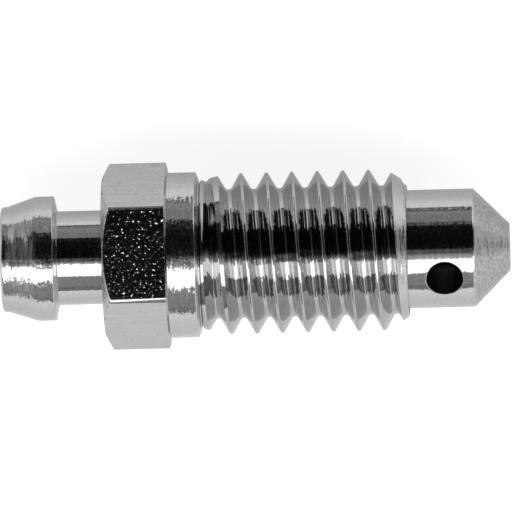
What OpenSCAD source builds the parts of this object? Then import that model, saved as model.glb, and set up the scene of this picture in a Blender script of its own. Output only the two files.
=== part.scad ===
// Bleeder screw with a hose nipple, a spanner hexagon, a rolled thread and a conical seat.
// It lies along X on one flat of its hexagon: nipple towards -X, conical seat towards +X.
// The origin is on its axis at the face of the collar, where the threaded shank begins.

/* [Hose nipple] */
// Diameter of the front end, where the hose is pushed on
nose_d = 5.15; // [4.8:0.05:5.7]
// Length of the straight front end
nose_l = 0.3; // [0.2:0.05:0.8]
// Width of the broken edge round the front end
nose_edge = 0.1; // [0.05:0.01:0.18]
// Length of the taper that stretches the hose
taper_l = 1.4; // [0.8:0.1:3]
// Diameter over the barb
barb_d = 6.1; // [5.8:0.05:7.2]
// Length of the straight land on the barb
land_l = 0.9; // [0.5:0.05:2]
// Length of the steep back of the barb
barb_back_l = 0.15; // [0.05:0.01:0.5]
// Diameter of the neck that the hose closes on
neck_d = 4.6; // [4:0.05:5.6]
// Length of the neck
neck_l = 2.25; // [1.5:0.05:6]

/* [Hexagon] */
// Width across the flats
hex_af = 8; // [7.8:0.1:10]
// Length of the hexagon
hex_l = 3.2; // [2.4:0.1:8]
// Distance from the flats in to the round end face
hex_face_inset = 0.12; // [0.04:0.01:0.5]
// Angle between the end face and the crowned chamfer, where they meet
hex_chamfer_a = 27; // [15:1:45]
// Width that the eased corners lose beside the collar
hex_ease_w = 0.35; // [0.1:0.05:0.5]
// Angle between the face beside the collar and the eased corners, where they meet
hex_ease_a = 15; // [5:1:45]

/* [Collar] */
// Diameter of the round collar
collar_d = 8.1; // [7.6:0.05:8.8]
// Length of the collar
collar_l = 1.5; // [0.8:0.1:4]
// Width of the bevel on the collar, measured across the axis
collar_bevel_w = 0.3; // [0.05:0.01:0.35]
// Length of the bevel on the collar, measured along the axis
collar_bevel_l = 0.14; // [0.05:0.01:0.5]

/* [Thread] */
// Diameter over the crests, a little under the nominal 8
thread_d = 7.9; // [7.75:0.01:8]
// Distance from one crest to the next
pitch = 1.25; // [1:0.05:1.5]
// Length of the threaded shank, from the collar to the tip
thread_l = 10.2; // [6:0.1:25]
// Diameter of the plain shank beside the collar, before the rolled thread
shank_d = 7.28; // [7.1:0.01:7.5]
// Distance from the collar to the first crest on the +Y side
first_crest = 0.84; // [0:0.01:1.25]
// Plain length beside the collar, before the groove starts
groove_from = 0.2; // [0:0.05:1]
// Length over which the groove reaches its full depth
groove_run = 0.6; // [0.3:0.05:2]
// Length over which the crest reaches its full height
crest_run = 1.9; // [0.5:0.1:3]
// Diameter of the lead-in at the last thread
lead_d = 6.6; // [6.2:0.05:7.4]
// Angle between the lead-in and the axis
lead_a = 33; // [15:1:45]
// Facets in one turn of the thread
turn_facets = 48; // [24:4:60]

/* [Tip and seat] */
// Diameter of the plain tip
tip_d = 5.8; // [5:0.05:6.1]
// Length of the plain tip
tip_l = 3.25; // [2.8:0.05:8]
// Full angle of the conical seat
seat_a = 90; // [60:1:120]
// Diameter of the blunt end of the seat
seat_end_d = 2.3; // [1:0.05:3]

/* [Fluid way] */
// Diameter of the bore along the axis
bore_d = 2.2; // [1.6:0.05:2.8]
// Depth of the bore past the axis of the cross hole
bore_past = 0.45; // [0.1:0.05:0.8]
// Full angle of the drilled bottom of the bore
drill_a = 118; // [90:1:140]
// Width of the countersink at the mouth of the bore
bore_edge = 0.15; // [0.05:0.01:0.4]
// Diameter of the cross hole
cross_d = 1.8; // [1.2:0.05:2.2]
// Metal between the cross hole and the edge of the seat
cross_to_seat = 0.55; // [0.2:0.05:1]
// Angle of the cross hole from the flat on top, towards -Y
cross_a = 33; // [0:1:60]

/* [Hidden] */
$fn = 96;
// Cuts run past the metal by this much
past = 1;

// Stations along the axis, from the face of the collar
hex_back_z = -collar_l;
hex_front_z = hex_back_z - hex_l;
barb_foot_z = hex_front_z - neck_l;
land_back_z = barb_foot_z - barb_back_l;
land_front_z = land_back_z - land_l;
taper_front_z = land_front_z - taper_l;
front_z = taper_front_z - nose_l;
tip_end_z = thread_l + tip_l;
seat_l = (tip_d - seat_end_d) / 2 / tan(seat_a / 2);
end_z = tip_end_z + seat_l;
cross_z = tip_end_z - cross_to_seat - cross_d / 2;

hex_corner_r = hex_af / 2 / cos(30);

// A metric thread: depth and flat crest as shares of the pitch, and flanks this far from square
depth_share = 0.6134;
crest_share = 1 / 8;
flank_a = 30;
// The rounded root sinks by this share of its width
sag_share = 0.2;
crest_r = thread_d / 2;
thread_depth = depth_share * pitch;
root_r = crest_r - thread_depth;
crest_w = crest_share * pitch;
flank_l = thread_depth * tan(flank_a);
root_w = pitch - crest_w - 2 * flank_l;
root_sag = sag_share * root_w;
shank_r = shank_d / 2;
// One pitch of the thread as distances along the axis and radii, from the middle of a crest
thread_profile = [
    [-crest_w / 2, crest_r],
    [crest_w / 2, crest_r],
    [crest_w / 2 + flank_l, root_r],
    [pitch / 2, root_r - root_sag],
    [pitch - crest_w / 2 - flank_l, root_r]
];
profile_n = len(thread_profile);
// The shank is sunk into the collar as far as its middle
shank_from = -collar_l / 2;
// The helix is a turn too long at both ends of the shank, where it is cut off square
helix_from = first_crest - pitch * (1 + ceil((first_crest - shank_from) / pitch));
helix_steps = turn_facets * ceil((thread_l + crest_w - helix_from) / pitch);
// The +Y side of the lying screw is at this angle round the axis
side_a = 90;

// Rises smoothly from 0 at a to 1 at b
function ramp(z, a, b) =
    let (t = min(1, max(0, (z - a) / (b - a))))
    t * t * (3 - 2 * t);

// Radius of a point of the thread, which grows out of the plain shank beside the collar
function thread_r(r, z) =
    r > shank_r
        ? shank_r + (r - shank_r) * ramp(z, 0, crest_run)
        : shank_r + (r - shank_r) * ramp(z, groove_from, groove_from + groove_run);

// Point k of the profile after i steps round the helix
function helix_point(i, k) =
    let (
        a = side_a + 360 * i / turn_facets,
        z = helix_from + pitch * i / turn_facets + thread_profile[k][0],
        r = thread_r(thread_profile[k][1], z)
    )
    [r * cos(a), r * sin(a), z];

// Number of point k after i steps; past the last step only the crest edge goes on, for one turn
function helix_index(i, k) =
    i <= helix_steps
        ? i * profile_n + k
        : helix_steps * profile_n + profile_n + i - helix_steps - 1;

// Number of point k + 1, which past the root is the crest edge one turn on
function next_index(i, k) =
    k + 1 < profile_n ? helix_index(i, k + 1) : helix_index(i + turn_facets, 0);

// Fan that closes one end of the helix on a point of the axis
function end_fan(i0, hub, way) =
    let (
        edge = [
            for (i = [0 : turn_facets - 1])
                [helix_index(i0 + i, 0), helix_index(i0 + i + 1, 0), hub]
        ],
        step = [
            for (k = [0 : profile_n - 1])
                [next_index(i0, k), helix_index(i0, k), hub]
        ]
    )
    [for (f = concat(edge, step)) way > 0 ? f : [f[1], f[0], f[2]]];

// The threaded bar before its ends are cut
module thread_bar() {
    last = helix_steps + turn_facets;
    hub_0 = helix_index(last, 0) + 1;
    points = concat(
        [for (i = [0 : helix_steps], k = [0 : profile_n - 1]) helix_point(i, k)],
        [for (i = [helix_steps + 1 : last]) helix_point(i, 0)],
        [
            [0, 0, helix_from + pitch / 2],
            [0, 0, helix_from + pitch * helix_steps / turn_facets + pitch / 2]
        ]
    );
    skin = [
        for (i = [0 : helix_steps - 1], k = [0 : profile_n - 1])
            each [
                [helix_index(i, k), next_index(i, k), next_index(i + 1, k)],
                [helix_index(i, k), next_index(i + 1, k), helix_index(i + 1, k)]
            ]
    ];
    polyhedron(
        points = points,
        faces = concat(skin, end_fan(0, hub_0, 1), end_fan(helix_steps, hub_0 + 1, -1))
    );
}

// The threaded shank from inside the collar to the tip, with its lead-in
module thread() {
    wide_r = crest_r + past;
    intersection() {
        thread_bar();
        rotate_extrude()
            polygon([
                [0, shank_from],
                [wide_r, shank_from],
                [wide_r, thread_l - (wide_r - lead_d / 2) / tan(lead_a)],
                [lead_d / 2, thread_l],
                [0, thread_l]
            ]);
    }
}

// Everything turned: nipple, neck, collar, plain tip and conical seat
module turned_body() {
    rotate_extrude()
        polygon([
            [0, front_z],
            [nose_d / 2 - nose_edge, front_z],
            [nose_d / 2, front_z + nose_edge],
            [nose_d / 2, taper_front_z],
            [barb_d / 2, land_front_z],
            [barb_d / 2, land_back_z],
            [neck_d / 2, barb_foot_z],
            [neck_d / 2, hex_back_z],
            [collar_d / 2, hex_back_z],
            [collar_d / 2, -collar_bevel_l],
            [collar_d / 2 - collar_bevel_w, 0],
            [tip_d / 2, 0],
            [tip_d / 2, tip_end_z],
            [seat_end_d / 2, end_z],
            [0, end_z]
        ]);
}

// Hexagon with corners that are turned off, more towards the nipple than beside the collar
module hexagon() {
    face_r = hex_af / 2 - hex_face_inset;
    crown_r = face_r / sin(hex_chamfer_a);
    ease_r = hex_corner_r - hex_ease_w;
    ease_crown_r = ease_r / sin(hex_ease_a);
    intersection() {
        translate([0, 0, hex_front_z])
            rotate([0, 0, 30])
                cylinder(h = hex_l, r = hex_corner_r, $fn = 6);
        translate([0, 0, hex_front_z + crown_r * cos(hex_chamfer_a)])
            sphere(r = crown_r);
        translate([0, 0, hex_back_z - ease_crown_r * cos(hex_ease_a)])
            sphere(r = ease_crown_r);
    }
}

// Blind bore from the nipple to just past the cross hole
module bore() {
    bore_r = bore_d / 2;
    bottom_z = cross_z + bore_past;
    rotate_extrude()
        polygon([
            [0, front_z - past],
            [bore_r + bore_edge + past, front_z - past],
            [bore_r, front_z + bore_edge],
            [bore_r, bottom_z],
            [0, bottom_z + bore_r / tan(drill_a / 2)]
        ]);
}

// Cross hole through both walls of the tip
module cross_hole() {
    translate([0, 0, cross_z])
        rotate([0, 0, cross_a])
            rotate([0, 90, 0])
                cylinder(h = tip_d + 2 * past, d = cross_d, center = true);
}

module bleeder_screw() {
    color("silver")
        rotate([0, 90, 0])
            difference() {
                union() {
                    turned_body();
                    hexagon();
                    thread();
                }
                bore();
                cross_hole();
            }
}

bleeder_screw();
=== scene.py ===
# %% [markdown]
# # A bleeder screw on a white table
#
# The real part is one piece of steel bar about 25 mm long. A lathe turns the hose nipple, the
# collar, the tip and the conical seat, a mill or a drawn bar gives the hexagon, the thread is
# rolled, two drills make the fluid way, and a thin bright coat of zinc covers it all.
# This lesson makes it in the same order: turn a blank, mill the flats, roll the thread, drill,
# break the edges, and only then give each surface the finish that its tool left.
#
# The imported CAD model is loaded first. It fixes the frame: the screw lies along X, its nipple
# towards -X, on one flat of its hexagon, and the origin is on its axis at the collar's face.

# %% Load the frame
import math

import bmesh
import bpy
from mathutils import Matrix, Vector


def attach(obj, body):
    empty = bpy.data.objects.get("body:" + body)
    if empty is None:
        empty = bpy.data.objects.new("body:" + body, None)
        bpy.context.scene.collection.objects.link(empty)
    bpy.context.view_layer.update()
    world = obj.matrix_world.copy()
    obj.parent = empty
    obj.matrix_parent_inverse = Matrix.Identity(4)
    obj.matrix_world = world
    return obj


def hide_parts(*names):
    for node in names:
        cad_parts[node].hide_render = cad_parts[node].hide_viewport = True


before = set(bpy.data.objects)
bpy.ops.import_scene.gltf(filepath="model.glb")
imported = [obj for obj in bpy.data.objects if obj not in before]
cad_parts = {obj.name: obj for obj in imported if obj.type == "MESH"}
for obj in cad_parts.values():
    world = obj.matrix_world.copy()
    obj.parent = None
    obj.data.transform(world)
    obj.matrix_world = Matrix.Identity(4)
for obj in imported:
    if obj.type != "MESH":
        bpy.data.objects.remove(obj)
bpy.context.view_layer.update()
MM = 0.001

# %% [markdown]
# ## Small helpers
#
# An operator works on everything that is selected, and the CAD part is still selected after it
# was loaded. So each step starts by selecting one piece only. `pick` selects points in edit mode
# by their place, because a script has no mouse. `report` counts what was made, and says how many
# edges don't join two faces: on a closed piece there are none.

# %% Selecting and reporting
def only(piece):
    bpy.ops.object.select_all(action="DESELECT")
    piece.select_set(True)
    bpy.context.view_layer.objects.active = piece


def pick(piece, mode, wanted):
    """Selects, in edit mode, the points or edges whose places in mm pass the test."""
    bpy.context.tool_settings.mesh_select_mode = (mode == "VERT", mode == "EDGE", False)
    mesh = bmesh.from_edit_mesh(piece.data)
    mesh.select_mode = {mode}
    for part in (*mesh.faces, *mesh.edges, *mesh.verts):
        part.select = False
    for part in mesh.verts if mode == "VERT" else mesh.edges:
        ends = [part] if mode == "VERT" else part.verts
        if wanted(*(v.co / MM for v in ends)):
            part.select = True
    mesh.select_flush_mode()
    bmesh.update_edit_mesh(piece.data)


def report(piece, step):
    mesh = bmesh.new()
    mesh.from_mesh(piece.data)
    open_edges = sum(len(e.link_faces) != 2 for e in mesh.edges)
    triangles = sum(len(f.verts) - 2 for f in mesh.faces)
    volume = mesh.calc_volume() / MM**3
    mesh.free()
    print(f"{step}: {triangles} triangles, {open_edges} open edges, {volume:.1f} mm3")


# %% [markdown]
# ## Drawing and turning a profile
#
# A turned shape is a line spun round the axis. The line starts as a tiny plane that is merged to
# one point, and each corner is extruded from the last, as it is done by hand. A corner may name
# a third number, the size of its rounding: no machined edge is perfectly sharp, and the thin
# bright line on a rounded edge is what makes metal look real. Spinning the line round X and
# merging its ends gives a closed piece.

# %% Profile tools
ROUND_STEPS = 4
MERGE = 1e-4 * MM


def draw(name, corners):
    bpy.ops.object.select_all(action="DESELECT")
    x, r = corners[0][:2]
    bpy.ops.mesh.primitive_plane_add(size=0.1 * MM, location=(x * MM, 0, r * MM))
    piece = bpy.context.object
    piece.name = name
    bpy.ops.object.transform_apply()
    bpy.context.tool_settings.mesh_select_mode = (True, False, False)
    bpy.ops.object.mode_set(mode="EDIT")
    bpy.ops.mesh.merge(type="CENTER")
    for here, there in zip(corners, corners[1:]):
        step = ((there[0] - here[0]) * MM, 0, (there[1] - here[1]) * MM)
        bpy.ops.mesh.extrude_vertices_move(TRANSFORM_OT_translate={"value": step})
    for x, r, *rounding in corners:
        if rounding:
            corner = Vector((x, 0, r))
            pick(piece, "VERT", lambda p: (p - corner).length < 1e-3)
            bpy.ops.mesh.bevel(
                affect="VERTICES", offset=rounding[0] * MM, segments=ROUND_STEPS, profile=0.5
            )
    bpy.ops.object.mode_set(mode="OBJECT")
    return piece


def turn(piece, steps):
    only(piece)
    bpy.ops.object.mode_set(mode="EDIT")
    bpy.ops.mesh.select_all(action="SELECT")
    bpy.ops.mesh.spin(steps=steps, angle=2 * math.pi, center=(0, 0, 0), axis=(1, 0, 0))
    bpy.ops.mesh.select_all(action="SELECT")
    bpy.ops.mesh.remove_doubles(threshold=MERGE)
    bpy.ops.mesh.normals_make_consistent(inside=False)
    bpy.ops.object.mode_set(mode="OBJECT")
    return piece


def bar(name, start, end, radius, sides, tilt=0):
    bpy.ops.object.select_all(action="DESELECT")
    bpy.ops.mesh.primitive_cylinder_add(
        vertices=sides,
        radius=radius * MM,
        depth=(end - start) * MM,
        location=((start + end) / 2 * MM, 0, 0),
        rotation=(0, math.pi / 2, 0),
    )
    piece = bpy.context.object
    piece.name = name
    bpy.ops.object.transform_apply()
    return piece


def combine(piece, tool, operation):
    """Joins or cuts with the Manifold solver, which keeps a closed piece closed."""
    only(piece)
    change = piece.modifiers.new(tool.name, "BOOLEAN")
    change.object = tool
    change.operation = operation
    change.solver = "MANIFOLD"
    bpy.ops.object.modifier_apply(modifier=change.name)
    name = tool.name
    bpy.data.objects.remove(tool)
    report(piece, f"{operation.lower()} {name}")


# %% [markdown]
# ## The blank
#
# Everything that the lathe made is one profile: nose, taper, barb, neck, the round bar that
# becomes the hexagon, collar, plain tip and the 45 degree seat. The two ends of the hexagon are
# turned too, as very shallow domes, because a hexagon bar that is faced on a lathe gets corners
# that curve away. Sizes are in millimetres along the axis and from it, as in the CAD model.

# %% Sizes of the blank
FRONT, TAPER_START, LAND_START, LAND_END, BARB_FOOT = -9.7, -9.4, -8.0, -7.1, -6.95
NOSE_R, BARB_R, NECK_R = 2.575, 3.05, 2.3
HEX_START, HEX_END, FLAT_R, HEX_FACE_R = -4.7, -1.5, 4.0, 3.88
CORNER_R = FLAT_R / math.cos(math.radians(30))
EASE_R, FACE_ANGLE, EASE_ANGLE = CORNER_R - 0.35, 27, 15
COLLAR_R, COLLAR_BEVEL_R, COLLAR_BEVEL = 4.05, 3.75, 0.14
TIP_START, TIP_END, TIP_R, END, END_R = 10.2, 13.45, 2.9, 15.2, 1.15
TURN_STEPS = 144


def dome(face_x, face_r, angle, side, outer_r, steps=5):
    """Points on a shallow dome that leaves an end face at this angle; side is -1 for the front."""
    radius = face_r / math.sin(math.radians(angle))
    centre = face_x - side * radius * math.cos(math.radians(angle))
    radii = [face_r + (outer_r - face_r) * i / steps for i in range(steps + 1)]
    return [(centre + side * math.sqrt(radius**2 - r**2), r) for r in radii]


front_dome = dome(HEX_START, HEX_FACE_R, FACE_ANGLE, -1, CORNER_R + 0.1)
back_dome = dome(HEX_END, EASE_R, EASE_ANGLE, 1, CORNER_R + 0.1)[::-1]

# %% Turn the blank
blank = draw("bleeder_screw_body", [
    (FRONT, 0),
    (FRONT, NOSE_R - 0.1, 0.03),
    (FRONT + 0.1, NOSE_R, 0.04),
    (TAPER_START, NOSE_R, 0.1),
    (LAND_START, BARB_R, 0.12),
    (LAND_END, BARB_R, 0.05),
    (BARB_FOOT, NECK_R, 0.03),
    (HEX_START, NECK_R, 0.08),
    (*front_dome[0], 0.03),
    *front_dome[1:],
    *back_dome[:-1],
    (*back_dome[-1], 0.03),
    (HEX_END, COLLAR_R),
    (-COLLAR_BEVEL, COLLAR_R, 0.04),
    (0, COLLAR_BEVEL_R, 0.03),
    (0, TIP_R, 0.02),
    (TIP_END, TIP_R, 0.06),
    (END, END_R, 0.05),
    (END, 0),
])
turn(blank, TURN_STEPS)
report(blank, "blank")

# %% [markdown]
# ## The flats
#
# On the real part the hexagon is the drawn bar itself. Here a mill cuts it out of the round
# blank: a thick ring with a hexagonal hole, whose corners are rounded first so that the six long
# edges come out rounded as well. The ring ends a thousandth of a millimetre behind the collar's
# face, so that no two faces lie on top of each other.

# %% Mill the flats
HEX_EDGE, HEX_END_EDGE, HEX_FRONT_EDGE = 0.2, 0.1, 0.05
hexagon = bar("hexagon_bar", HEX_START - 2, HEX_END - HEX_END_EDGE, CORNER_R, 6)
only(hexagon)
bpy.ops.object.mode_set(mode="EDIT")
pick(hexagon, "EDGE", lambda a, b: abs(a.x - b.x) > 1)
bpy.ops.mesh.bevel(offset=HEX_EDGE * MM, segments=ROUND_STEPS, profile=0.5)
narrower = 1 - HEX_END_EDGE / FLAT_R
for end, step, size in ((HEX_END - HEX_END_EDGE, HEX_END_EDGE, narrower), (HEX_END, 1, 1)):
    pick(hexagon, "VERT", lambda p: p.x > end - 0.01)
    bpy.ops.mesh.extrude_region_move(TRANSFORM_OT_translate={"value": (step * MM, 0, 0)})
    bpy.ops.transform.resize(value=(1, size, size), center_override=(0, 0, 0))
bpy.ops.object.mode_set(mode="OBJECT")
report(hexagon, "hexagon bar")
mill = bar("hexagon_mill", HEX_START - 0.5, HEX_END + 0.001, CORNER_R + 2, 48)
combine(mill, hexagon, "DIFFERENCE")
combine(blank, mill, "DIFFERENCE")

only(blank)
bpy.ops.object.mode_set(mode="EDIT")
mesh = bmesh.from_edit_mesh(blank.data)
mesh.select_mode = {"EDGE"}
for edge in mesh.edges:
    middle = (edge.verts[0].co + edge.verts[1].co) / 2 / MM
    ahead = sorted(abs(face.normal.x) for face in edge.link_faces)
    edge.select = (
        HEX_START + 0.01 < middle.x < HEX_START + 0.6 and ahead[0] < 0.01 and ahead[1] > 0.3
    )
mesh.select_flush_mode()
bmesh.update_edit_mesh(blank.data)
bpy.ops.mesh.bevel(offset=HEX_FRONT_EDGE * MM, segments=3, profile=0.5)
bpy.ops.object.mode_set(mode="OBJECT")
report(blank, "front edges of the flats")

# %% [markdown]
# ## The thread
#
# A right-hand M8 x 1.25 thread, rolled and a little under size. One pitch of its profile is
# drawn at the top of the screw, from the middle of a crest to the middle of the next, with the
# rounded crest and root that rolling leaves. The Screw modifier carries it round and along the
# axis. The ends are cut off square and closed, the first turn is eased into the plain shank
# beside the collar, because the rolls can't reach the corner, and the last turns lose their
# crests to a cone that helps the screw find its hole.

# %% Draw one pitch and screw it along
PITCH, CREST_R, SHANK_R = 1.25, 3.95, 3.64
CREST_W, DEPTH = PITCH / 12, 0.6134 * PITCH
ROOT_R = CREST_R - DEPTH
FLANK = DEPTH * math.tan(math.radians(30))
ROOT_SAG = 0.125 * (PITCH - CREST_W - 2 * FLANK)
# On the +Y side a crest lies 0.84 mm from the collar, and the top is a quarter of a turn later
first = 0.84 + PITCH / 4 - 3 * PITCH
TURNS, THREAD_STEPS = 12, 96

thread = draw("rolled_thread", [
    (first, CREST_R),
    (first + CREST_W / 2, CREST_R, 0.045),
    (first + CREST_W / 2 + FLANK, ROOT_R, 0.06),
    (first + PITCH / 2, ROOT_R - ROOT_SAG, 0.04),
    (first + PITCH - CREST_W / 2 - FLANK, ROOT_R, 0.06),
    (first + PITCH - CREST_W / 2, CREST_R, 0.045),
    (first + PITCH, CREST_R),
])
only(thread)
screw = thread.modifiers.new("thread", "SCREW")
screw.axis, screw.angle, screw.screw_offset = "X", 2 * math.pi, PITCH * MM
screw.iterations, screw.steps, screw.render_steps = TURNS, THREAD_STEPS, THREAD_STEPS
bpy.ops.object.modifier_apply(modifier=screw.name)
bpy.ops.object.mode_set(mode="EDIT")
bpy.ops.mesh.select_all(action="SELECT")
bpy.ops.mesh.remove_doubles(threshold=MERGE)
for x, beyond in ((-0.75, False), (TIP_START, True)):
    bpy.ops.mesh.select_all(action="SELECT")
    bpy.ops.mesh.bisect(
        plane_co=(x * MM, 0, 0), plane_no=(1, 0, 0), use_fill=True,
        clear_outer=beyond, clear_inner=not beyond, threshold=MERGE / 10,
    )
bpy.ops.mesh.select_all(action="SELECT")
bpy.ops.mesh.normals_make_consistent(inside=False)
bpy.ops.object.mode_set(mode="OBJECT")
report(thread, "thread")

# %% Ease the first turns into the shank
def ease(x, start, end):
    t = min(1, max(0, (x - start) / (end - start)))
    return t * t * (3 - 2 * t)


for point in thread.data.vertices:
    x, radius = point.co.x / MM, math.hypot(point.co.y, point.co.z) / MM
    if 1 < radius < SHANK_R:
        wanted = SHANK_R + (radius - SHANK_R) * ease(x, 0.2, 0.8)
        point.co.y *= wanted / radius
        point.co.z *= wanted / radius

crest_line = [
    (x / 10, SHANK_R + (CREST_R - SHANK_R) * ease(x / 10, -0.3, 1.9)) for x in range(-3, 20, 2)
]
crest_tool = draw("crest_run_tool", [(-1, SHANK_R), *crest_line, (1.9, 5), (-1, 5), (-1, SHANK_R)])
turn(crest_tool, TURN_STEPS)
combine(thread, crest_tool, "DIFFERENCE")

# %% Cut the lead-in and join the thread to the blank
LEAD_R, LEAD_ANGLE = 3.3, 33
slope = math.tan(math.radians(LEAD_ANGLE))
far_x, far_r, wide_r = TIP_START + 0.1, LEAD_R - 0.1 * slope, 5
lead_tool = draw("lead_in_tool", [
    (far_x, far_r), (far_x, wide_r), (far_x - (wide_r - far_r) / slope, wide_r), (far_x, far_r),
])
turn(lead_tool, TURN_STEPS)
combine(thread, lead_tool, "DIFFERENCE")

foot_tool = draw("foot_groove_tool", [
    (0.02, SHANK_R - 0.1), (0.07, SHANK_R - 0.1, 0.02), (0.13, SHANK_R + 0.01), (0.13, 5),
    (0.02, 5), (0.02, SHANK_R - 0.1),
])
turn(foot_tool, TURN_STEPS)
combine(thread, foot_tool, "DIFFERENCE")
only(thread)
bpy.ops.object.mode_set(mode="EDIT")
pick(thread, "EDGE", lambda a, b: all(
    abs(p.x - TIP_START) < 1e-3 and abs(math.hypot(p.y, p.z) - LEAD_R) < 0.01 for p in (a, b)
))
bpy.ops.mesh.bevel(offset=0.05 * MM, segments=3, profile=0.5)
bpy.ops.object.mode_set(mode="OBJECT")
report(thread, "edge of the lead-in")
combine(blank, thread, "UNION")

# %% [markdown]
# ## The fluid way
#
# Brake fluid leaves the port through the cross hole in the tip, runs along the bore and comes
# out of the nipple. The bore is blind and ends in the 118 degree point that a twist drill
# leaves. The cross hole goes through both walls. Each drill is a closed solid that is taken
# away, and then the sharp edges of the holes are found by their distance from both axes and
# bevelled, since a drilled edge is always broken with a deburring tool.

# %% Drill
BORE_R, BORE_END, MOUTH = 1.1, 12.45, 0.15
CROSS_R, CROSS_X, CROSS_TURN = 0.9, 12.0, math.radians(33)
bore_drill = draw("bore_drill", [
    (FRONT - 1, 0),
    (FRONT - 1, BORE_R + MOUTH + 1),
    (FRONT + MOUTH, BORE_R),
    (BORE_END, BORE_R),
    (BORE_END + BORE_R / math.tan(math.radians(118 / 2)), 0),
])
turn(bore_drill, TURN_STEPS)
combine(blank, bore_drill, "DIFFERENCE")

cross_drill = bar("cross_drill", -4, 4, CROSS_R, 96)
only(cross_drill)
cross_drill.rotation_euler = (0, math.pi / 2, 0)
bpy.ops.object.transform_apply()
cross_drill.rotation_euler = (CROSS_TURN, 0, 0)
cross_drill.location = (CROSS_X * MM, 0, 0)
bpy.ops.object.transform_apply()
combine(blank, cross_drill, "DIFFERENCE")

# %% Break the edges of the holes
cross_axis = Vector((0, -math.sin(CROSS_TURN), math.cos(CROSS_TURN)))


def from_axis(p):
    return math.hypot(p.y, p.z)


def from_cross(p):
    across = p - Vector((CROSS_X, 0, 0))
    return (across - across.dot(cross_axis) * cross_axis).length


def on_cross_rim(p):
    return abs(from_cross(p) - CROSS_R) < 0.01 and from_axis(p) > TIP_R - 0.01


def on_bore_mouth(p):
    return abs(p.x - FRONT) < 0.01 and abs(from_axis(p) - BORE_R - MOUTH) < 0.01


only(blank)
bpy.ops.object.mode_set(mode="EDIT")
for rim, width in ((on_cross_rim, 0.06), (on_bore_mouth, 0.03)):
    pick(blank, "EDGE", lambda a, b: rim(a) and rim(b))
    bpy.ops.mesh.bevel(offset=width * MM, segments=3, profile=0.5)
bpy.ops.object.mode_set(mode="OBJECT")
report(blank, "holes broken")

# %% [markdown]
# ## Smooth shading
#
# Faces that meet at less than 32 degrees are shaded as one curve. Weighted normals then let the
# large faces win over the thin strips of a rounding, so that the flats stay truly flat. The
# drill left long thin faces on the tip, whose blended normals would bend a reflection, so there
# every corner is given the normal that a true cylinder has: straight out from the axis. The neck
# and the collar, which meet the hexagon, get the same.

# %% Shade
def rescale(piece, factor):
    only(piece)
    piece.scale = (factor,) * 3
    bpy.ops.object.transform_apply()


rescale(blank, 1 / MM)
bpy.ops.object.shade_smooth_by_angle(angle=math.radians(32))
weighted = blank.modifiers.new("weighted_normals", "WEIGHTED_NORMAL")
weighted.keep_sharp, weighted.weight, weighted.thresh = True, 100, 0
bpy.ops.object.modifier_apply(modifier=weighted.name)
rescale(blank, MM)

mesh = blank.data
normals = [corner.vector.copy() for corner in mesh.corner_normals]
CYLINDERS = [
    (BARB_FOOT + 0.05, HEX_START - 0.1, NECK_R),
    (HEX_END - 0.01, -COLLAR_BEVEL - 0.05, COLLAR_R),
    (TIP_START + 0.03, TIP_END - 0.1, TIP_R),
]
straight = 0
for face in mesh.polygons:
    for corner in face.loop_indices:
        place = mesh.vertices[mesh.loops[corner].vertex_index].co / MM
        outward = Vector((0, place.y, place.z)).normalized()
        for start, end, radius in CYLINDERS:
            on_it = start < place.x < end and abs(from_axis(place) - radius) < 0.003
            if on_it and face.normal.dot(outward) > 0.998:
                normals[corner] = outward
                straight += 1
mesh.normals_split_custom_set(normals)
print("corners made straight on the cylinders:", straight)

# %% [markdown]
# ## Helpers for materials
#
# Colours are written as the hex values that a picture shows, and one function turns them to the
# linear values that Cycles works with. `add` puts one node in a tree, sets it and links it.

# %% Colour and node helpers
def colour(hex_value):
    parts = [int(hex_value[i:i + 2], 16) / 255 for i in (1, 3, 5)]
    linear = [c / 12.92 if c <= 0.04045 else ((c + 0.055) / 1.055) ** 2.4 for c in parts]
    return (*linear, 1)


def add(tree, kind, settings=None, **links):
    """Adds a node. Settings name its properties or sockets; links name sockets to connect."""
    node = tree.nodes.new(kind)
    for name, value in (settings or {}).items():
        if isinstance(name, int) or name in node.inputs:
            node.inputs[name].default_value = value
        else:
            setattr(node, name, value)
    for name, source in links.items():
        key = int(name[1:]) if name[0] == "_" and name[1:].isdigit() else name.replace("_", " ")
        tree.links.new(source, node.inputs[key])
    return node


def new_material(name):
    material = bpy.data.materials.new(name)
    material.use_nodes = True
    material.node_tree.nodes.clear()
    return material, material.node_tree


# %% [markdown]
# ## Zinc plate
#
# Bright zinc is a thin, pale grey metal that copies the surface under it, so each finish is the
# same metal on a different ground. The ground is made of tiny slopes. The three channels of a
# noise picture are three independent slopes, so they are centred on zero and added straight to
# the normal: grains that are long round the screw and short along it are tool marks, grains of
# equal length are pits. The plate's own grain varies its tone and its roughness a little.

# %% Zinc
ZINC_DARK, ZINC_LIGHT = "#C6C6C6", "#D2D2D2"


def noise(tree, place, size, detail=1.0):
    """Noise with grains of this size in mm for x, y and z."""
    scale = tuple(1 / (s * MM) for s in size)
    mapped = add(tree, "ShaderNodeMapping", {"Scale": scale}, Vector=place)
    return add(
        tree, "ShaderNodeTexNoise", {"Scale": 1.0, "Detail": detail}, Vector=mapped.outputs[0]
    )


def vector_math(tree, operation, first, second):
    """Combines two vectors, each a socket or three numbers."""
    node = add(tree, "ShaderNodeVectorMath", {"operation": operation})
    for socket, value in zip(node.inputs, (first, second)):
        if isinstance(value, tuple):
            socket.default_value = value
        elif value is not None:
            tree.links.new(value, socket)
    return node.outputs[0]


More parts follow.
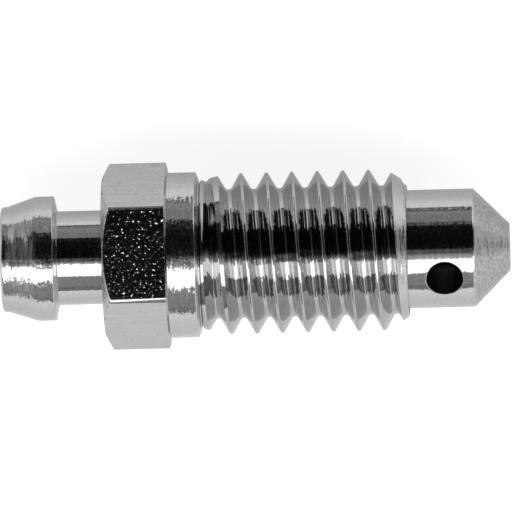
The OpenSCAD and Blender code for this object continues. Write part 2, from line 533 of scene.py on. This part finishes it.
def sloped_normal(tree, place, layers, pitted, crown):
    """The surface's normal with slopes added: each layer has a grain size and a slope by axis."""
    normal = add(tree, "ShaderNodeNewGeometry").outputs["Normal"]
    bulge = vector_math(tree, "MULTIPLY", place, (0, crown / MM, crown / MM))
    normal = vector_math(tree, "ADD", normal, bulge)
    for size, slope in layers:
        centred = vector_math(
            tree, "SUBTRACT", noise(tree, place, size).outputs["Color"], (0.5, 0.5, 0.5)
        )
        if pitted:
            squared = vector_math(tree, "MULTIPLY", centred, centred)
            centred = vector_math(tree, "MULTIPLY", squared, centred)
        normal = vector_math(
            tree, "ADD", normal, vector_math(tree, "MULTIPLY", centred, slope)
        )
    return vector_math(tree, "NORMALIZE", normal, None)


def between(tree, value, low, high):
    """Stretches the middle of a noise over this range."""
    return add(
        tree, "ShaderNodeMapRange",
        {"From Min": 0.3, "From Max": 0.7, "To Min": low, "To Max": high}, Value=value,
    ).outputs[0]


def metal(
    name, dark, light, roughness, layers, anisotropy=0.0, grain=(0.15,) * 3, pitted=False, crown=0.0
):
    """A metal whose tone and roughness vary from grain to grain; roughness is (low, high)."""
    material, tree = new_material(name)
    place = add(tree, "ShaderNodeTexCoord").outputs["Object"]
    fine = noise(tree, place, grain, detail=3.0).outputs["Fac"]
    tone = add(tree, "ShaderNodeMix", {"data_type": "RGBA"})
    tree.links.new(between(tree, fine, 0, 1), tone.inputs["Factor"])
    tone.inputs["A"].default_value = tone.inputs[6].default_value = colour(dark)
    tone.inputs["B"].default_value = tone.inputs[7].default_value = colour(light)
    shader = add(
        tree, "ShaderNodeBsdfPrincipled",
        {"Metallic": 1.0, "Anisotropic": anisotropy, "Anisotropic Rotation": 0.25},
        Normal=sloped_normal(tree, place, layers, pitted, crown),
        Roughness=between(tree, fine, *roughness),
    )
    tree.links.new(tone.outputs[2], shader.inputs["Base Color"])
    if anisotropy:
        tangent = add(tree, "ShaderNodeTangent", {"direction_type": "RADIAL", "axis": "X"})
        tree.links.new(tangent.outputs[0], shader.inputs["Tangent"])
    output = add(tree, "ShaderNodeOutputMaterial")
    tree.links.new(shader.outputs[0], output.inputs[0])
    return material


# %% [markdown]
# ## One finish for each tool
#
# The lathe leaves fine rings round the axis. They smear a reflection along the screw but keep it
# sharp round it, which is what the anisotropic shader does: its tangent runs round the X axis and
# is turned by a quarter. The barb, the collar and the seat are rougher than the neck and the tip,
# so their reflections have ragged edges. The flats are the skin of the drawn bar, never cut and
# full of shallow pits that glitter. Rolling presses the thread between hardened dies and
# burnishes it. Inside the drilled holes there is hardly any zinc, and the steel is dull; its very
# dark base colour is painted shade, standing in for the shade inside the holes.

# %% Finishes
turned = metal(
    "zinc_on_turned_steel", ZINC_DARK, ZINC_LIGHT, (0.12, 0.24),
    [((0.11, 0.8, 0.8), (0.6, 0.16, 0.16)), ((0.1, 0.1, 0.1), (0.14, 0.14, 0.14))], anisotropy=0.9,
)
fine_turned = metal(
    "zinc_on_fine_turned_steel", ZINC_DARK, ZINC_LIGHT, (0.08, 0.2),
    [((0.08, 1.5, 1.5), (0.3, 0.05, 0.05)), ((0.1, 0.1, 0.1), (0.05, 0.05, 0.05))],
    anisotropy=0.9,
)
drawn = metal(
    "zinc_on_drawn_steel", ZINC_DARK, ZINC_LIGHT, (0.06, 0.14),
    [((0.14, 0.14, 0.14), (20, 20, 20))], grain=(1.5, 0.12, 0.12), pitted=True, crown=0.006,
)
rolled = metal(
    "zinc_on_rolled_steel", "#B6B6B6", "#C2C2C2", (0.03, 0.1),
    [((0.12, 0.12, 0.12), (0.06, 0.06, 0.06))],
)
# Painted shade: the very dark base colour stands in for the shade inside the drilled holes.
drilled_and_shaded = metal(
    "drilled_steel_with_painted_shade", "#303030", "#3C3C3C", (0.4, 0.6),
    [((0.2, 0.2, 0.2), (0.2, 0.2, 0.2))],
)
seat = metal(
    "zinc_on_turned_seat", "#A8A8A8", "#D0D0D0", (0.14, 0.28),
    [((0.08, 1.0, 1.0), (0.8, 0.25, 0.25)), ((0.12, 0.12, 0.12), (0.16, 0.16, 0.16))],
    anisotropy=0.9, grain=(0.1, 0.2, 0.2),
)

# %% [markdown]
# ## Which face has which finish
#
# One piece of steel keeps one mesh. Each face is given the finish of the tool that made it, by
# where it lies and which way it looks.

# %% Assign finishes
blank.data.materials.clear()
for material in (turned, fine_turned, drawn, rolled, drilled_and_shaded, seat):
    blank.data.materials.append(material)
TURNED, FINE, DRAWN, ROLLED, DRILLED_SHADED, SEAT = range(6)
counts = [0] * 6
for face in blank.data.polygons:
    centre, normal = face.center / MM, face.normal
    radius = from_axis(centre)
    finish = TURNED
    if BARB_FOOT + 0.03 < centre.x < HEX_START - 0.01 or TIP_START < centre.x < TIP_END:
        finish = FINE
    if TIP_END + 0.04 < centre.x:
        finish = SEAT
    if HEX_START < centre.x < HEX_END and radius > NECK_R + 0.2:
        side = round(math.atan2(normal.y, normal.z) / math.radians(60)) * math.radians(60)
        is_flat = normal.dot(Vector((0, math.sin(side), math.cos(side)))) > 0.999
        finish = DRAWN if is_flat else FINE
    if 0 < centre.x <= TIP_START and radius > TIP_R + 0.05:
        on_lead = centre.x > TIP_START - 1.3 and 0.4 < normal.x < 0.7
        finish = TURNED if on_lead else ROLLED
    # Faces in the bore and the cross hole take the dark finish whose colour is painted shade.
    if radius < BORE_R + 0.02 and centre.x < END - 0.1:
        finish = DRILLED_SHADED
    if from_cross(centre) < CROSS_R + 0.01 and radius < TIP_R - 0.03:
        finish = DRILLED_SHADED
    face.material_index = finish
    counts[finish] += 1
print("faces turned, fine turned, drawn, rolled, drilled, seat:", counts)

# %% Put the piece in the frame
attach(blank, "root")
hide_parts("bleeder_screw")

# %% [markdown]
# ## Table, light and camera
#
# Metal shows its surroundings, so the studio is what paints this screw: a dark ceiling straight
# above gives the black band, a softbox a little in front of it the white one, grey walls the
# grey ones, and the white table the light edges. The ceiling and walls are bands in the world
# that run along the screw, by the angle from straight up. The softbox is a real area lamp.

# %% A ramp from a list
def fill_ramp(node, stops):
    """Fills a colour ramp with greys from (position, level) pairs."""
    elements = node.color_ramp.elements
    while len(elements) < len(stops):
        elements.new(0.5)
    for element, (position, level) in zip(elements, stops):
        element.position = position
    for element, (position, level) in zip(elements, stops):
        element.color = (level, level, level, 1)


# %% Table
FLOOR_Z = -COLLAR_R
bpy.ops.object.select_all(action="DESELECT")
bpy.ops.mesh.primitive_plane_add(size=3, location=(0, 0, FLOOR_Z * MM))
table = bpy.context.object
table.name = "table"
paper, tree = new_material("white_paper")
light_path = add(tree, "ShaderNodeLightPath")
CAMERA_GLOW = 0.85
# What the metal sees of the paper, by the distance in mm from the screw's axis along Y: a painted
# shadow, darker near the screw and darkest just on its +Y side, away from the softbox
PAPER_PAINTED_SHADOW = [(-60, 0.68), (-25, 0.6), (-9, 0.5), (0, 0.4), (9, 0.34), (14, 0.42), (35, 0.6), (60, 0.66)]
split = add(
    tree, "ShaderNodeSeparateXYZ", None, Vector=add(tree, "ShaderNodeTexCoord").outputs["Object"]
)
nearness = add(
    tree, "ShaderNodeMapRange", {"From Min": -60 * MM, "From Max": 60 * MM},
    Value=split.outputs["Y"],
)
paper_shadow_ramp = add(tree, "ShaderNodeValToRGB", None, Fac=nearness.outputs[0])
fill_ramp(paper_shadow_ramp, [((mm + 60) / 120, level) for mm, level in PAPER_PAINTED_SHADOW])
# Only rays reflected by the metal see this painted shadow, added to the paper's real lighting.
in_metal = add(
    tree, "ShaderNodeMath", {"operation": "MULTIPLY"},
    _0=light_path.outputs["Is Glossy Ray"], _1=paper_shadow_ramp.outputs["Color"],
)
seen = add(
    tree, "ShaderNodeMath", {"operation": "MULTIPLY_ADD", 1: CAMERA_GLOW},
    _0=light_path.outputs["Is Camera Ray"], _2=in_metal.outputs[0],
)
diffuse = add(tree, "ShaderNodeBsdfDiffuse", {"Color": colour("#B4B4B4")})
glow = add(tree, "ShaderNodeEmission", {"Color": colour("#FFFFFF")}, Strength=seen.outputs[0])
both = add(tree, "ShaderNodeAddShader", None, _0=diffuse.outputs[0], _1=glow.outputs[0])
output = add(tree, "ShaderNodeOutputMaterial")
tree.links.new(both.outputs[0], output.inputs[0])
table.data.materials.append(paper)

# %% World
world = bpy.data.worlds.new("studio")
bpy.context.scene.world = world
world.use_nodes = True
tree = world.node_tree
tree.nodes.clear()
direction = add(tree, "ShaderNodeTexCoord").outputs["Generated"]
split = add(tree, "ShaderNodeSeparateXYZ", None, Vector=direction)
angle = add(
    tree, "ShaderNodeMath", {"operation": "ARCTAN2"}, _0=split.outputs["Y"], _1=split.outputs["Z"]
)
share = add(
    tree, "ShaderNodeMapRange", {"From Min": -math.pi, "From Max": math.pi}, Value=angle.outputs[0]
)
def ring(stops):
    """A ramp by the angle round the screw, from (degrees, level) pairs."""
    node = add(tree, "ShaderNodeValToRGB", None, Fac=share.outputs[0])
    fill_ramp(node, [((degrees + 180) / 360, level) for degrees, level in stops])
    return node.outputs["Color"]


def by_lean(stops):
    """A ramp by the lean of a direction along the screw, from (degrees, level) pairs."""
    node = add(tree, "ShaderNodeValToRGB", None, Fac=lean.outputs[0])
    fill_ramp(node, [(math.sin(math.radians(degrees)) / 2 + 0.5, level) for degrees, level in stops])
    return node.outputs["Color"]


def mix(factor, first, second):
    node = add(tree, "ShaderNodeMix", {"data_type": "RGBA"})
    for socket, value in ((0, factor), (6, first), (7, second)):
        if isinstance(value, float):
            node.inputs[socket].default_value = (value, value, value, 1)
        else:
            tree.links.new(value, node.inputs[socket])
    return node.outputs[2]


lean = add(tree, "ShaderNodeMapRange", {"From Min": -1.0, "From Max": 1.0}, Value=split.outputs["X"])
LOWER = [(-180, 0.95), (-89.5, 0.95), (-88, 0.2), (-81, 0.2), (-77, 0.29), (-47, 0.29),
         (-21, 0.6), (-17, 0.5), (-13, 0.3), (-9, 0.16), (-4, 0.04), (0, 0.005), (11, 0.002),
         (39, 0.005), (48.5, 0.008)]
UPPER = [(50.5, 0.25), (63, 0.24), (75, 0.32), (79, 0.28), (80.5, 0.11), (85, 0.11)]
UPPER_DEEP = [(50.5, 0.02), (81, 0.02), (83, 0.1), (85, 0.12)]
HORIZON = [(86.5, 0.95), (180, 0.95)]
first_look = ring(LOWER + UPPER + HORIZON)
world_path = add(tree, "ShaderNodeLightPath")


deep = add(
    tree, "ShaderNodeMath", {"operation": "GREATER_THAN", 1: 2.5},
    _0=world_path.outputs["Ray Depth"],
)
ended_look = mix(
    by_lean([(-88, 0.98), (-75, 0.3), (-60, 0.2), (-38, 0.18), (-27, 0.03), (-8, 0), (30, 0),
             (45, 0.03), (55, 0.1), (64, 0.3), (72, 0.6), (78, 0.5), (86, 0.12)]),
    first_look, 0.66,
)
ended = mix(deep.outputs[0], ended_look, ring(LOWER + UPPER_DEEP + HORIZON))
sides = add(
    tree, "ShaderNodeMath", {"operation": "MULTIPLY"},
    _0=ring([(-180, 1), (-25, 1), (-15, 0), (47, 0), (53, 1), (180, 1)]),
    _1=by_lean([(-55, 1), (-38, 0), (12, 0), (24, 1), (54, 1), (62, 0.3), (80, 0.1)]),
)
room_light = mix(sides.outputs[0], ended, 0.9)
camera_ray = world_path.outputs["Is Camera Ray"]
room = add(tree, "ShaderNodeBackground", None, Color=room_light)
white = add(tree, "ShaderNodeBackground", {"Color": (1, 1, 1, 1)})
shown = add(tree, "ShaderNodeMixShader", None, _0=camera_ray, _1=room.outputs[0], _2=white.outputs[0])
output = add(tree, "ShaderNodeOutputWorld")
tree.links.new(shown.outputs[0], output.inputs[0])

# %% Softbox
SOFTBOX_TILT, SOFTBOX_FAR = math.radians(-33.8), 0.5
lamp_data = bpy.data.lights.new("softbox", "AREA")
lamp_data.shape, lamp_data.size, lamp_data.size_y = "RECTANGLE", 1.3, 0.253
lamp_data.energy = 1.82
lamp = bpy.data.objects.new("softbox", lamp_data)
bpy.context.scene.collection.objects.link(lamp)
lamp.location = (0, SOFTBOX_FAR * math.sin(SOFTBOX_TILT), SOFTBOX_FAR * math.cos(SOFTBOX_TILT))
lamp.rotation_euler = (-SOFTBOX_TILT, 0, 0)
lamp.visible_camera = False

# %% Camera
TARGET = Vector((2.74, -0.139, 0)) * MM
FAR, WIDTH = 0.6, 25.098 * MM
LEAN, TIP, ROLL = math.radians(1.8), math.radians(1), math.radians(1.45)
camera_data = bpy.data.cameras.new("camera")
camera = bpy.data.objects.new("camera", camera_data)
bpy.context.scene.collection.objects.link(camera)
bpy.context.scene.camera = camera
camera_data.sensor_width = 36
camera_data.lens = 36 * FAR / WIDTH
camera_data.clip_start, camera_data.clip_end = 0.01, 10
back = Vector((math.sin(LEAN), -math.sin(TIP), math.cos(LEAN))).normalized()
along = Vector((math.cos(LEAN), 0, -math.sin(LEAN)))
across = back.cross(along).normalized()
along = across.cross(back)
right = math.cos(ROLL) * along - math.sin(ROLL) * across
up = math.sin(ROLL) * along + math.cos(ROLL) * across
turned_axes = Matrix((right, up, back)).transposed().to_4x4()
camera.matrix_world = Matrix.Translation(TARGET + back * FAR) @ turned_axes
bpy.context.scene.view_settings.view_transform = "Standard"

# %% Update the scene
bpy.context.view_layer.update()
